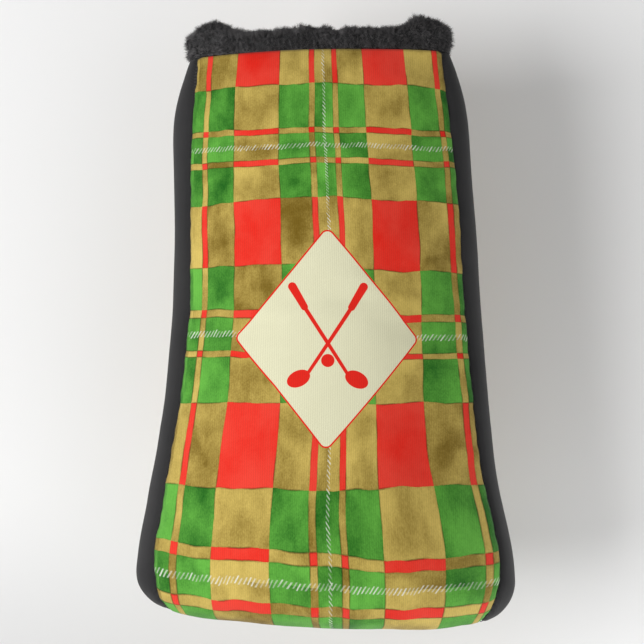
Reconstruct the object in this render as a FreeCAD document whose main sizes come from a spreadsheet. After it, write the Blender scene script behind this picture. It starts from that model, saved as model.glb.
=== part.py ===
"""Driver head cover: a padded, lined sleeve for the head of a golf driver.

The cover hangs mouth up. The origin is the centre of the mouth, in the plane of the hem where the fur
trim starts. +Z is up, out of the mouth, -Y is the front, and +X is the right-hand side seen from there.

The wall is a nest of pouches. Every pouch is the same loft, drawn in by an inset of its own, and a layer
of the wall is one pouch cut out of another. Bands and blocks then cut each layer into its sewn pieces.
"""
import FreeCAD, Part
import math
import os
import Sketcher
from FreeCAD import Vector

# Cross-sections of the cover from the hem down: level below the hem, half width, half depth, and the
# half width of the printed panels, all in millimetres like everything here.
SECTIONS = {
    "hem": (0, 58, 22, 53),
    "collar": (20, 64, 29.5, 54.5),
    "neck": (45, 66, 36, 56.5),
    "waist": (120, 69, 45, 59),
    "flare": (180, 75.5, 51, 65.5),
    "crown": (225, 84, 52, 74),
    "end": (249, 83, 42, 67),
}
SECTION_SIZES = ("level", "half_width", "half_depth", "panel")

SIZES = {
    "side_roundness": 0.6,          # radius of a section's sides, as a share of its half depth
    "end_rounding": 20,             # radius of the edge round the closed end
    "overrun": 30,                  # how far a cutting shape reaches past what it cuts

    # How deep each surface of the wall lies below the outer one.
    "outside": 0,
    "skin_back": 1.0,               # back of the printed fabric
    "padding_back": 4.0,            # back of the foam, and of the gussets
    "inside": 9.0,                  # face of the fleece lining
    "elastic_front": 1.4,
    "elastic_back": 2.8,
    "lining_thread_back": 4.8,

    # Where the seams run, measured outwards from the edge of the printed panel.
    "panel_edge": 0,
    "gusset_edge": 1.0,
    "thread_near": 0.15,
    "thread_far": 0.85,
    "lining_edge": -10,
    "side_lining_edge": -9.2,
    "lining_thread_near": -9.9,
    "lining_thread_far": -9.3,

    "end_seam": 0.5,                # half of the gap between front and back pieces at the closed end
    "end_thread": 0.35,             # half width of the thread in that gap

    "elastic_top": 3,               # levels below the hem of the neck elastic and its channel
    "elastic_bottom": 15,
    "channel_bottom": 17,

    "cuff_outside": -5,             # insets of the fur trim and of its thread, as for a surface above
    "cuff_inside": 8,
    "cuff_thread_outside": 0.6,
    "cuff_thread_inside": 1.8,
    "cuff_bottom": 0.7,             # heights above the hem
    "cuff_side_top": 18,
    "cuff_middle_top": 7,
    "cuff_rounding": 4,
    "cuff_thread_bottom": 0.05,
    "cuff_thread_height": 0.6,

    "label_width": 20,
    "label_drop": 30,
    "label_thickness": 0.7,
    "label_front": 11.4,            # distance of the label's front face behind the mouth's centre
}

doc = FreeCAD.newDocument("driver_head_cover")
dims = doc.addObject("Spreadsheet::Sheet", "dims")
value = dict(SIZES)
for section, numbers in SECTIONS.items():
    value.update({f"{section}_{what}": number for what, number in zip(SECTION_SIZES, numbers)})
for row, (alias, number) in enumerate(value.items(), start=1):
    dims.set(f"A{row}", alias)
    dims.set(f"B{row}", str(number))
    dims.setAlias(f"B{row}", alias)
doc.recompute()


# ---------------------------------------------------------------- sketches and bodies

def new_body(name):
    return doc.addObject("PartDesign::Body", name)


def new_sketch(body, name, plane="XY_Plane"):
    sketch = body.newObject("Sketcher::SketchObject", name)
    origin_plane = [item for item in body.Origin.OriginFeatures if item.Role == plane][0]
    sketch.AttachmentSupport = (origin_plane, "")
    sketch.MapMode = "FlatFace"
    return sketch


def drive(sketch, constraint, expression):
    """Add a constraint with a size, and bind the size to the sheet."""
    index = sketch.addConstraint(constraint)
    sketch.setExpression(f"Constraints[{index}]", expression)


def draw_oval(sketch, section, inset):
    """A section of the cover: four tangent arcs, flat at front and back and round at the sides."""
    roundness = value["side_roundness"]
    full_depth = value[section + "_half_depth"]
    side_radius = roundness * full_depth - value[inset]
    side_centre = value[section + "_half_width"] - roundness * full_depth
    half_depth = full_depth - value[inset]
    flat_radius = (side_centre ** 2 + half_depth ** 2 - side_radius ** 2) / (2 * (half_depth - side_radius))
    flat_centre = flat_radius - half_depth
    turn = math.atan2(flat_centre, side_centre)
    up = Vector(0, 0, 1)
    front = Part.Circle(Vector(0, flat_centre, 0), up, flat_radius)
    right = Part.Circle(Vector(side_centre, 0, 0), up, side_radius)
    back = Part.Circle(Vector(0, -flat_centre, 0), up, flat_radius)
    left = Part.Circle(Vector(-side_centre, 0, 0), up, side_radius)
    first = sketch.GeometryCount
    arcs = [
        Part.ArcOfCircle(front, turn - math.pi, -turn),
        Part.ArcOfCircle(right, -turn, turn),
        Part.ArcOfCircle(back, turn, math.pi - turn),
        Part.ArcOfCircle(left, math.pi - turn, math.pi + turn),
    ]
    sketch.addGeometry(arcs, False)
    apex = sketch.addGeometry(Part.Point(Vector(0, -half_depth, 0)), True)
    front, right, back, left = range(first, first + 4)
    rule = Sketcher.Constraint
    sketch.addConstraint([
        rule("Tangent", front, 2, right, 1),
        rule("Coincident", right, 2, back, 1),
        rule("Coincident", back, 2, left, 1),
        rule("Coincident", left, 2, front, 1),
        rule("Symmetric", right, 1, right, 2, -1),
        rule("Symmetric", front, 1, front, 2, -2),
        rule("Symmetric", back, 1, back, 2, -2),
        rule("Equal", front, back),
        rule("Equal", right, left),
        rule("PointOnObject", apex, 1, -2),
        rule("PointOnObject", apex, 1, front),
    ])
    share = f"dims.side_roundness * dims.{section}_half_depth"
    drive(sketch, rule("DistanceY", apex, 1, -1, 1, half_depth), f"dims.{section}_half_depth - dims.{inset}")
    drive(sketch, rule("DistanceX", -1, 1, right, 3, side_centre), f"dims.{section}_half_width - {share}")
    drive(sketch, rule("Radius", right, side_radius), f"{share} - dims.{inset}")


def draw_band(sketch, section, edge):
    """A rectangle from seam to seam, deep enough to pass right through the cover."""
    half_width = value[section + "_panel"] + value[edge]
    half_depth = value["crown_half_depth"] + value["overrun"]
    corners = [Vector(x * half_width, y * half_depth, 0) for x, y in ((-1, -1), (1, -1), (1, 1), (-1, 1))]
    lines = [Part.LineSegment(corners[side], corners[(side + 1) % 4]) for side in range(4)]
    sketch.addGeometry(lines, False)
    rule = Sketcher.Constraint
    sketch.addConstraint([rule("Coincident", side, 2, (side + 1) % 4, 1) for side in range(4)])
    sketch.addConstraint([
        rule("Horizontal", 0),
        rule("Horizontal", 2),
        rule("Vertical", 1),
        rule("Vertical", 3),
        rule("Symmetric", 0, 1, 1, 2, -1, 1),
    ])
    drive(sketch, rule("DistanceX", -1, 1, 1, 1, half_width), f"dims.{section}_panel + dims.{edge}")
    drive(sketch, rule("DistanceY", 1, 1, -1, 1, half_depth), "dims.crown_half_depth + dims.overrun")


def loft(body, sketches):
    feature = body.newObject("PartDesign::AdditiveLoft", body.Name + "_loft")
    feature.Profile = sketches[0]
    feature.Sections = sketches[1:]
    feature.Ruled = False
    doc.recompute()
    return feature


def level_sketches(body, draw, place, end_thickness="0"):
    """One sketch for each section, each at its own level and drawn by draw(sketch, section, place)."""
    sketches = []
    for section in SECTIONS:
        sketch = new_sketch(body, f"{body.Name}_{section}")
        raised = end_thickness if section == "end" else "0"
        sketch.setExpression("AttachmentOffset.Base.z", f"{raised} - dims.{section}_level")
        draw(sketch, section, place)
        sketches.append(sketch)
    return sketches


# ---------------------------------------------------------------- pouches, bands and blocks

pouches = {}
bands = {}


def pouch(inset):
    """The cover's outer form drawn in by an inset, as a solid: a loft with its closed end rounded."""
    if inset not in pouches:
        body = new_body("pouch_" + inset)
        form = loft(body, level_sketches(body, draw_oval, inset, f"dims.{inset}"))
        faces = form.Shape.Faces
        lowest = min(range(len(faces)), key=lambda index: faces[index].CenterOfMass.z)
        rounding = body.newObject("PartDesign::Fillet", body.Name + "_rounding")
        rounding.Base = (form, [f"Face{lowest + 1}"])
        rounding.setExpression("Radius", f"dims.end_rounding - dims.{inset}")
        doc.recompute()
        pouches[inset] = body
    return pouches[inset]


def band(edge):
    """Everything between the two side seams, the seams taken at some distance from the panel's edge."""
    if edge not in bands:
        body = new_body("band_" + edge)
        loft(body, level_sketches(body, draw_band, edge))
        bands[edge] = body
    return bands[edge]


def block(name, low, high):
    """A box between two corners, given as expressions in the sheet's terms."""
    box = doc.addObject("Part::Box", name)
    for axis, side, start, stop in zip("xyz", ("Length", "Width", "Height"), low, high):
        box.setExpression(side, f"({stop}) - ({start})")
        box.setExpression(f"Placement.Base.{axis}", start)
    doc.recompute()
    return box


def combine(kind, name, base, tool):
    feature = doc.addObject(kind, name)
    feature.Base = base
    feature.Tool = tool
    doc.recompute()
    return feature


def cut(name, base, tool):
    return combine("Part::Cut", name, base, tool)


def common(name, base, *tools):
    for step, tool in enumerate(tools):
        last = step == len(tools) - 1
        base = combine("Part::Common", name if last else f"{name}_step_{step}", base, tool)
    return base


def layer(name, front, back):
    """The part of the wall between two of its surfaces."""
    return cut(name, pouch(front), pouch(back))


# ---------------------------------------------------------------- what each layer is cut with

WIDE = ("dims.crown_half_width + dims.overrun", "dims.crown_half_depth + dims.overrun")
TOP = "dims.overrun"
BOTTOM = "-dims.end_level - dims.overrun"

front_half = block("front_half", (f"-({WIDE[0]})", f"-({WIDE[1]})", BOTTOM), (WIDE[0], "-dims.end_seam", TOP))
left_half = block("left_half", (f"-({WIDE[0]})", f"-({WIDE[1]})", BOTTOM), ("0", WIDE[1], TOP))
end_slit = block("end_slit", (f"-({WIDE[0]})", "-dims.end_thread", BOTTOM), (WIDE[0], "dims.end_thread", TOP))
below_channel = block(
    "below_channel",
    (f"-({WIDE[0]})", f"-({WIDE[1]})", BOTTOM),
    (*WIDE, "-dims.channel_bottom"),
)
channel_space = block(
    "channel_space",
    (f"-({WIDE[0]})", f"-({WIDE[1]})", "-dims.channel_bottom"),
    (*WIDE, TOP),
)
elastic_space = block(
    "elastic_space",
    (f"-({WIDE[0]})", f"-({WIDE[1]})", "-dims.elastic_bottom"),
    (*WIDE, "-dims.elastic_top"),
)

parts = {}


def finished(node, shape):
    shape.Label = node
    parts[node] = shape


# ---------------------------------------------------------------- pieces in mirrored pairs

SIDEWAYS = Vector(1, 0, 0)
BACKWARDS = Vector(0, 1, 0)


def mirrored(node, source, across):
    twin = doc.addObject("Part::Mirroring", node)
    twin.Source = source
    twin.Normal = across
    doc.recompute()
    return twin


def front_and_back(pattern, front):
    """The front piece, and its mirror image at the back; pattern gives their names."""
    finished(pattern.format("front"), front)
    finished(pattern.format("back"), mirrored(pattern.format("back"), front, BACKWARDS))


def left_and_right(pattern, left):
    finished(pattern.format("left"), left)
    finished(pattern.format("right"), mirrored(pattern.format("right"), left, SIDEWAYS))


def side_seam(name, cloth, near, far):
    """The strip of a layer that lies outside the near band and inside the far one, at the left."""
    inside = common(name + "_inside", cloth, band(far), left_half)
    return cut(name + "_strip", inside, band(near))


# ---------------------------------------------------------------- the outer cloth and its padding

skin = layer("skin_layer", "outside", "skin_back")
padding = layer("padding_layer", "skin_back", "padding_back")
wall = layer("wall_layer", "outside", "padding_back")

front_and_back("{}_panel", common("front_cloth", skin, band("panel_edge"), front_half))
front_and_back("{}_foam", common("front_padding", padding, band("gusset_edge"), front_half, below_channel))

channel = common("elastic_channel", padding, channel_space)
side_wall = cut("side_wall", common("left_wall", wall, left_half), band("gusset_edge"))
left_and_right("{}_gusset", cut("side_wall_with_channel", side_wall, channel))

elastic_ring = layer("elastic_ring", "elastic_front", "elastic_back")
finished("neck_elastic", common("elastic_band", elastic_ring, elastic_space))

left_and_right("seam_thread_{}", side_seam("outer_seam", skin, "thread_near", "thread_far"))
finished("end_seam_thread", common("end_seam", skin, band("panel_edge"), end_slit))


# ---------------------------------------------------------------- the lining

fleece = layer("fleece_layer", "padding_back", "inside")
lining_thread = layer("lining_thread_layer", "padding_back", "lining_thread_back")

front_and_back("lining_{}", common("front_fleece", fleece, band("lining_edge"), front_half))
left_fleece = common("left_fleece", fleece, left_half)
left_and_right("lining_{}", cut("side_fleece", left_fleece, band("side_lining_edge")))
left_and_right("lining_thread_{}",
               side_seam("lining_seam", lining_thread, "lining_thread_near", "lining_thread_far"))
finished("lining_end_thread", common("lining_end_seam", lining_thread, band("lining_edge"), end_slit))


# ---------------------------------------------------------------- the fur trim

def hem_ring(name, outside, inside, bottom, height):
    """An upright ring on the hem, between the hem's oval at two insets."""
    body = new_body(name)
    for feature_type, edge in (("Pad", outside), ("Pocket", inside)):
        sketch = new_sketch(body, f"{name}_{edge}")
        sketch.setExpression("AttachmentOffset.Base.z", bottom)
        draw_oval(sketch, "hem", edge)
        feature = body.newObject("PartDesign::" + feature_type, f"{name}_{feature_type.lower()}")
        feature.Profile = sketch
        feature.setExpression("Length", height)
        feature.Reversed = feature_type == "Pocket"
        doc.recompute()
    return body


def trim():
    """The trim: a ring with a rounded top that dips at the middle of the front and back."""
    body = hem_ring("trim", "cuff_outside", "cuff_inside", "dims.cuff_bottom",
                    "dims.cuff_side_top - dims.cuff_bottom")
    half_width = value["hem_half_width"] - value["cuff_outside"]
    dip = value["cuff_side_top"] - value["cuff_middle_top"]
    radius = (half_width ** 2 + dip ** 2) / (2 * dip)
    sketch = new_sketch(body, "trim_dip", "XZ_Plane")
    sketch.addGeometry(Part.Circle(Vector(0, value["cuff_middle_top"] + radius, 0), Vector(0, 0, 1), radius))
    rule = Sketcher.Constraint
    sketch.addConstraint(rule("PointOnObject", 0, 3, -2))
    reach = "(dims.hem_half_width - dims.cuff_outside)"
    drop = "(dims.cuff_side_top - dims.cuff_middle_top)"
    arc = f"({reach} * {reach} + {drop} * {drop}) / (2 * {drop})"
    drive(sketch, rule("Radius", 0, radius), arc)
    drive(sketch, rule("DistanceY", -1, 1, 0, 3, value["cuff_middle_top"] + radius),
          f"dims.cuff_middle_top + {arc}")
    feature = body.newObject("PartDesign::Pocket", "trim_dip_cut")
    feature.Profile = sketch
    feature.Type = "ThroughAll"
    feature.Midplane = True
    doc.recompute()
    faces = feature.Shape.Faces
    highest = max(range(len(faces)), key=lambda index: faces[index].BoundBox.ZMin)
    rounding = body.newObject("PartDesign::Fillet", "trim_rounding")
    rounding.Base = (feature, [f"Face{highest + 1}"])
    rounding.setExpression("Radius", "dims.cuff_rounding")
    doc.recompute()
    return body


finished("mouth_cuff", trim())
finished("cuff_thread", hem_ring("trim_thread", "cuff_thread_outside", "cuff_thread_inside",
                                 "dims.cuff_thread_bottom", "dims.cuff_thread_height"))

finished("care_label", block(
    "label_plate",
    ("-dims.label_width / 2", "dims.label_front", "-dims.label_drop"),
    ("dims.label_width / 2", "dims.label_front + dims.label_thickness", "0"),
))


# ---------------------------------------------------------------- checks and files

doc.recompute()
for item in doc.Objects:
    if "Invalid" in item.State or "Error" in item.State:
        raise RuntimeError(f"{item.Label} failed: {item.State}")
for node, shape in parts.items():
    if shape.Shape.isNull() or not shape.Shape.isValid() or not shape.Shape.Solids:
        raise RuntimeError(f"{node} has no valid solid")

os.makedirs("parts", exist_ok=True)
for node, shape in parts.items():
    shape.Shape.exportStep(f"parts/{node}.step")
    box = shape.Shape.optimalBoundingBox()
    print(f"{node}: {shape.Shape.Volume / 1000:.2f} cm3, {len(shape.Shape.Solids)} solid(s), "
          f"{box.XLength:.1f} x {box.YLength:.1f} x {box.ZLength:.1f} mm")
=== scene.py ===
"""Driver head cover: the looks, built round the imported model.

Metres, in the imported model's frame: +Z up out of the mouth, -Y the front, +X to the right. Sizes below
that are easier to read in millimetres are given in them and multiplied by MM where they are used.
"""

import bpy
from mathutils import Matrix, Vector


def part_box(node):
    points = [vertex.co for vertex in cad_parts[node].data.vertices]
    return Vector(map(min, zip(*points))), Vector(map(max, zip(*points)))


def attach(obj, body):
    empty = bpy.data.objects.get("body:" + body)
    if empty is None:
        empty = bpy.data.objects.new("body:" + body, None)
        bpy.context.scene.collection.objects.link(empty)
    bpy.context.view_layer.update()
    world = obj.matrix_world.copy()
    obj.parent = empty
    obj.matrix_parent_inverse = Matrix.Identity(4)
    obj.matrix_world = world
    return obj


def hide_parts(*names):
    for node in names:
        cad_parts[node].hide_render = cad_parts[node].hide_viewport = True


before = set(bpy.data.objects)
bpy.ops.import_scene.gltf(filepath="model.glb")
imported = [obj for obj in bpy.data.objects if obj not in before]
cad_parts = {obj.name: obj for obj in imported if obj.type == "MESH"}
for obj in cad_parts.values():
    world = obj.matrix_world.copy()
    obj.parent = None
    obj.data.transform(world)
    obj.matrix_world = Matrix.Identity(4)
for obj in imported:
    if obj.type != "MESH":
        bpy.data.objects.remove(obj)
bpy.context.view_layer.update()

import functools
import math

import bmesh
import bpy
import numpy as np
from mathutils import Vector

MM = 0.001
SAME_POINT = 0.00002        # points nearer than this, in metres, are merged

# ---- the cover's form

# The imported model's cross-sections, in millimetres: level below the hem, half width, half depth, and
# the half width of the printed panels.
SECTIONS = np.array([
    (0, 58, 22, 53),
    (20, 64, 29.5, 54.5),
    (45, 66, 36, 56.5),
    (120, 69, 45, 59),
    (180, 75.5, 51, 65.5),
    (225, 84, 52, 74),
    (249, 83, 42, 67),
], float)
SEAM_OUT = 1.2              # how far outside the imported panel's edge the finished seam lies
SIDE_ROUNDNESS = 0.6        # radius of a section's sides, as a share of its half depth
END_LEVEL = 249.0
END_ROUNDING = 20.0         # radius of the edge round the closed end
ROUNDING_LEVEL = END_LEVEL - END_ROUNDING
SKIN_THICKNESS = 3.4        # printed cloth with its foam, or gusset
LINING_FRONT, LINING_BACK = 9.0, 4.6    # how deep the lining's two faces lie below the outer surface
LINING_SEAM = 10.8          # how far the lining's side seams lie inboard of the panels' edges

ROW_STEP = 1.3              # spacing of the cloth's grid
COLUMNS_PANEL, COLUMNS_GUSSET = 96, 34
ROWS_END = 44               # rows round the closed end
FINE_TURNS, FINE_FLAT, FINE_POINTS = 90, 24, 81     # points on lines that are then spread evenly


def spline(levels, column):
    """A column of SECTIONS at any levels, on a natural cubic spline."""
    knots, values = SECTIONS[:, 0], SECTIONS[:, column]
    gaps = np.diff(knots)
    slopes = np.diff(values) / gaps
    count = len(knots)
    system, right = np.eye(count), np.zeros(count)
    for k in range(1, count - 1):
        system[k, k - 1:k + 2] = gaps[k - 1], 2 * (gaps[k - 1] + gaps[k]), gaps[k]
        right[k] = 6 * (slopes[k] - slopes[k - 1])
    bends = np.linalg.solve(system, right)
    levels = np.clip(np.asarray(levels, float), knots[0], knots[-1])
    k = np.clip(np.searchsorted(knots, levels, side="right") - 1, 0, count - 2)
    after, before, gap = levels - knots[k], knots[k + 1] - levels, gaps[k]
    curve = bends[k] * before ** 3 + bends[k + 1] * after ** 3
    low = (values[k] / gap - bends[k] * gap / 6) * before
    high = (values[k + 1] / gap - bends[k + 1] * gap / 6) * after
    return curve / (6 * gap) + low + high


def panel_edge(levels):
    return spline(levels, 3) + SEAM_OUT


def section_arcs(level):
    """A section's two arcs: the side's radius and centre, and the flatter front's radius and centre."""
    deep = spline(level, 2)
    side_radius = SIDE_ROUNDNESS * deep
    side_centre = spline(level, 1) - side_radius
    flat_radius = (side_centre ** 2 + deep ** 2 - side_radius ** 2) / (2 * (deep - side_radius))
    return side_radius, side_centre, flat_radius, flat_radius - deep


def half_depth(x, level, inset=0.0):
    """How far the surface stands in front of the middle plane, at a place x across and a level down."""
    x = np.abs(x)
    side_radius, side_centre, flat_radius, flat_centre = section_arcs(level)
    joint = side_centre + (side_radius - inset) * side_centre / (flat_radius - side_radius)
    flat = np.sqrt(np.maximum((flat_radius - inset) ** 2 - x ** 2, 0)) - flat_centre
    side = np.sqrt(np.maximum((side_radius - inset) ** 2 - (x - side_centre) ** 2, 0))
    return np.maximum(np.where(x <= joint, flat, side), 0)


def lane(across, edge, inset, level_top, top_rows):
    """One line of the front surface from the hem to the end seam: rows of (x, y, z), in millimetres.

    across runs from -1 to 1 between the side seams. The first top_rows rows are at even levels, and the
    last ROWS_END share out the way round the closed end.
    """
    rounding = END_ROUNDING - inset
    levels = np.linspace(level_top, ROUNDING_LEVEL, top_rows)
    x = across * edge(levels)
    upper = np.column_stack([x, -half_depth(x, levels, inset), -levels])
    turns = np.linspace(0, math.pi / 2, FINE_TURNS)
    levels = ROUNDING_LEVEL + rounding * np.sin(turns)
    x = across * edge(levels)
    depths = half_depth(x, levels, inset + rounding * (1 - np.cos(turns)))
    turn = np.column_stack([x, -depths, -levels])
    stop = np.argmax(depths <= 0) if np.any(depths <= 0) else len(depths)
    turn = turn[:stop]
    if depths[stop - 1] > 0:
        finish = turn[-1] * (1, 0, 1)
        flat = np.linspace(0, 1, FINE_FLAT)[1:, None]
        turn = np.vstack([turn, turn[-1] + (finish - turn[-1]) * flat])
    return np.vstack([upper, spread(turn, ROWS_END + 1)[1:]])


def lengths(points):
    """How far down its line each point lies. A grid's lines are its columns."""
    steps = np.linalg.norm(np.diff(points, axis=0), axis=-1)
    return np.concatenate([np.zeros((1, *steps.shape[1:])), np.cumsum(steps, axis=0)])


def unit(vectors):
    return vectors / np.linalg.norm(vectors, axis=-1, keepdims=True)


def along_line(points, along, wanted):
    """Points at the wanted lengths along a line."""
    return np.stack([np.interp(wanted, along, points[:, k]) for k in range(3)], axis=-1)


def spread(points, count):
    """The same line with its points spread evenly along it."""
    along = lengths(points)
    return along_line(points, along, np.linspace(0, along[-1], count))


def panel_surface(edge, inset, level_top, columns):
    """The front panel's surface as a grid: rows from the hem to the end seam, columns left to right."""
    top_rows = int((ROUNDING_LEVEL - level_top) / ROW_STEP)
    lanes = [lane(u, edge, inset, level_top, top_rows) for u in np.linspace(-1, 1, columns)]
    return np.stack(lanes, axis=1)


def side_surface(seam, inset, columns):
    """The right side's surface as a grid, from the front seam round to the back seam.

    seam is the front panel's right edge, whose rows this grid shares.
    """
    rounding = END_ROUNDING - inset
    rows = []
    for x_seam, y_seam, z in seam:
        level = min(-z, END_LEVEL - inset)
        sunk = max(level - ROUNDING_LEVEL, 0)
        shrink = inset + rounding - math.sqrt(max(rounding ** 2 - sunk ** 2, 0))
        side_radius, side_centre, flat_radius, flat_centre = section_arcs(level)
        joint = flat_centre * (side_radius - shrink) / (flat_radius - side_radius)
        y = y_seam * np.cos(np.linspace(0, math.pi, FINE_POINTS))
        reach = np.abs(y)
        side = side_centre + np.sqrt(np.maximum((side_radius - shrink) ** 2 - reach ** 2, 0))
        flat = np.sqrt(np.maximum((flat_radius - shrink) ** 2 - (reach + flat_centre) ** 2, 0))
        x = np.where(reach <= joint, side, flat)
        x[0] = x[-1] = x_seam
        line = np.column_stack([np.maximum(x, x_seam), y, np.full(FINE_POINTS, z)])
        rows.append(spread(line, columns) if abs(y_seam) > 0.05 else np.repeat(line[:1], columns, 0))
    return np.stack(rows)


def grid_normals(grid, outward):
    """Unit normals of a grid of points, turned to face the way outward gives for its middle."""
    down = np.gradient(grid, axis=0)
    across = np.gradient(grid, axis=1)
    normal = np.cross(down, across)
    size = np.linalg.norm(normal, axis=2, keepdims=True)
    normal = normal / np.maximum(size, 1e-9)
    middle = normal[grid.shape[0] // 3, grid.shape[1] // 2]
    return normal if middle @ np.array(outward, float) > 0 else -normal


def ripple(values, spacing, seed):
    """Smooth noise between -1 and 1 along a line or over a field of lengths, with a given spacing."""
    rng = np.random.default_rng(seed)
    total = np.zeros_like(values)
    for step in (1.0, 0.61, 0.37):
        pace = 2 * math.pi * step / spacing
        total += np.sin(values * pace * rng.uniform(0.85, 1.15) + rng.uniform(0, 6.3))
    return total / 3


# How this cover hangs: levels below the hem, how far its middle swings to the right there, and how
# much each millimetre to the right is raised.
HANG_LEVELS = (-20, 0, 38, 80, 125, 160, 195, 225, 249, 260)
HANG_SWAY = (0, 0, 0.4, 1.9, 2.1, 1.5, 0.0, 0.5, 1.2, 1.4)
HANG_RISE = (0.019, 0.019, 0.010, -0.002, -0.012, -0.024, -0.036, -0.046, -0.050, -0.050)

# The left side alone is drawn in a little above the closed end and stands out beside it, in mm. Like
# the pulls below, this grows from nothing at the first distance from the middle, over the second one.
LEFT_LEVELS = (165, 190, 204, 217, 230, 238, 260)
LEFT_IN = (0, 1.1, 1.8, 1.1, 0.0, -1.3, -1.4)
LEFT_GROWTH = (10, 60)

# The printed front is pulled over towards its right seam and its left one, in mm; the outline beside
# them isn't, so the pull grows from the middle plane forward over PULL_DEPTH.
RIGHT_PULL_LEVELS = (100, 125, 150, 180, 205, 230, 245)
RIGHT_PULL = (0, 1.6, 3.0, 2.3, 1.3, 0.9, 0.0)
RIGHT_PULL_GROWTH = (41, 14)
LEFT_PULL_LEVELS = (112, 132, 150, 174, 188, 200)
LEFT_PULL = (0, -1.9, -2.6, -2.6, -1.4, 0.0)
LEFT_PULL_GROWTH = (22, 24)
PULL_DEPTH = 25


def hang(points):
    """Points in mm, moved as the cover's own weight and stuffing pull it out of true."""
    points = np.array(points, float)
    x, y, z = np.moveaxis(points, -1, 0).copy()
    sway = smooth_table(-z, HANG_LEVELS, HANG_SWAY)
    sway += smooth_table(-z, LEFT_LEVELS, LEFT_IN) * grown(-x, *LEFT_GROWTH)
    pull = smooth_table(-z, RIGHT_PULL_LEVELS, RIGHT_PULL) * grown(x, *RIGHT_PULL_GROWTH)
    pull += smooth_table(-z, LEFT_PULL_LEVELS, LEFT_PULL) * grown(-x, *LEFT_PULL_GROWTH)
    points[..., 0] += sway + pull * grown(-y, 0, PULL_DEPTH)
    points[..., 2] += x * smooth_table(-z, HANG_LEVELS, HANG_RISE)
    return points


def grown(distance, start, reach):
    """0 up to the start, 1 from reach beyond it, and even between."""
    return np.clip((distance - start) / reach, 0, 1)


def smooth_table(values, places, numbers):
    """Numbers given at a few places, joined by a curve that is level with the ones beside it."""
    places, numbers = np.array(places, float), np.array(numbers, float)
    slopes = np.gradient(numbers, places)
    values = np.clip(values, places[0], places[-1])
    k = np.clip(np.searchsorted(places, values, side="right") - 1, 0, len(places) - 2)
    gap = places[k + 1] - places[k]
    t = (values - places[k]) / gap
    start = (2 * t ** 3 - 3 * t ** 2 + 1) * numbers[k] + (t ** 3 - 2 * t ** 2 + t) * gap * slopes[k]
    end = (3 * t ** 2 - 2 * t ** 3) * numbers[k + 1] + (t ** 3 - t ** 2) * gap * slopes[k + 1]
    return start + end


# ---- meshes

def place_mesh(name, mesh, material=None):
    """Put a mesh into the scene, smooth shaded."""
    mesh.validate()
    mesh.shade_smooth()
    if material:
        mesh.materials.append(material)
    piece = bpy.data.objects.new(name, mesh)
    bpy.context.scene.collection.objects.link(piece)
    return piece


def link(name, vertices, faces, material=None):
    mesh = bpy.data.meshes.new(name)
    mesh.from_pydata(np.asarray(vertices).tolist(), [], faces)
    return place_mesh(name, mesh, material)


def grid_faces(points, flip=False):
    """Faces between neighbours in a grid of vertex numbers."""
    faces = np.stack([points[:-1, :-1], points[:-1, 1:], points[1:, 1:], points[1:, :-1]], axis=2)
    return (faces[..., ::-1] if flip else faces).reshape(-1, 4).tolist()


def rim(points):
    """The outline of a grid of vertex numbers, as one loop."""
    sides = points[0], points[1:, -1], points[-1, -2::-1], points[-2:0:-1, 0]
    return np.concatenate(sides).tolist()


def shell(name, outer, inner, material, maps=None):
    """A closed piece of cloth between two grids of points in millimetres, with any UV maps by name."""
    rows, columns = outer.shape[:2]
    count = rows * columns
    vertices = hang(np.concatenate([outer.reshape(-1, 3), inner.reshape(-1, 3)])) * MM
    first = np.cross(outer[1, 1] - outer[1, 0], outer[2, 0] - outer[1, 0])
    flip = first @ (outer[1, 0] - inner[1, 0]) < 0
    grid = np.arange(count).reshape(rows, columns)
    faces = grid_faces(grid, flip) + grid_faces(grid + count, not flip)
    loop = rim(grid)
    for a, b in zip(loop, loop[1:] + loop[:1]):
        face = (a, b, b + count, a + count)
        faces.append(face if flip else face[::-1])
    piece = link(name, vertices, faces, material)
    points = np.zeros(len(piece.data.loops), int)
    piece.data.loops.foreach_get("vertex_index", points)
    for map_name, places in (maps or {}).items():
        layer = piece.data.uv_layers.new(name=map_name)
        layer.data.foreach_set("uv", places.reshape(-1, 2)[points % count].ravel())
    merge_doubles(piece)
    return piece


def merge_doubles(piece):
    """Join a piece's points that coincide, and turn all its faces outwards."""
    work = bmesh.new()
    work.from_mesh(piece.data)
    bmesh.ops.remove_doubles(work, verts=work.verts, dist=SAME_POINT)
    bmesh.ops.dissolve_degenerate(work, edges=work.edges, dist=SAME_POINT / 4)
    bmesh.ops.recalc_face_normals(work, faces=work.faces)
    work.to_mesh(piece.data)
    work.free()
    piece.data.shade_smooth()


# ---- material building

class Field:
    """A number that varies over a surface, made of a material's nodes; arithmetic makes more of them."""

    def __init__(self, tree, socket):
        self.tree = tree
        self.socket = socket

    def math(self, operation, *others):
        node = self.tree.nodes.new("ShaderNodeMath")
        node.operation = operation
        self.tree.links.new(self.socket, node.inputs[0])
        for place, other in enumerate(others, start=1):
            if isinstance(other, Field):
                self.tree.links.new(other.socket, node.inputs[place])
            else:
                node.inputs[place].default_value = other
        return Field(self.tree, node.outputs[0])

    def flipped(self):
        """One less the number."""
        return (self * -1.0) + 1.0

    def wave(self, pace):
        """A sine wave from 0 to 1 along the number, times a pace."""
        return (self * pace).sin() * 0.5 + 0.5

    def fade(self, start, end):
        """0 at start, 1 at end, smooth between."""
        node = self.tree.nodes.new("ShaderNodeMapRange")
        node.interpolation_type = "SMOOTHSTEP"
        self.tree.links.new(self.socket, node.inputs["Value"])
        node.inputs["From Min"].default_value = start
        node.inputs["From Max"].default_value = end
        return Field(self.tree, node.outputs["Result"])


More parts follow.
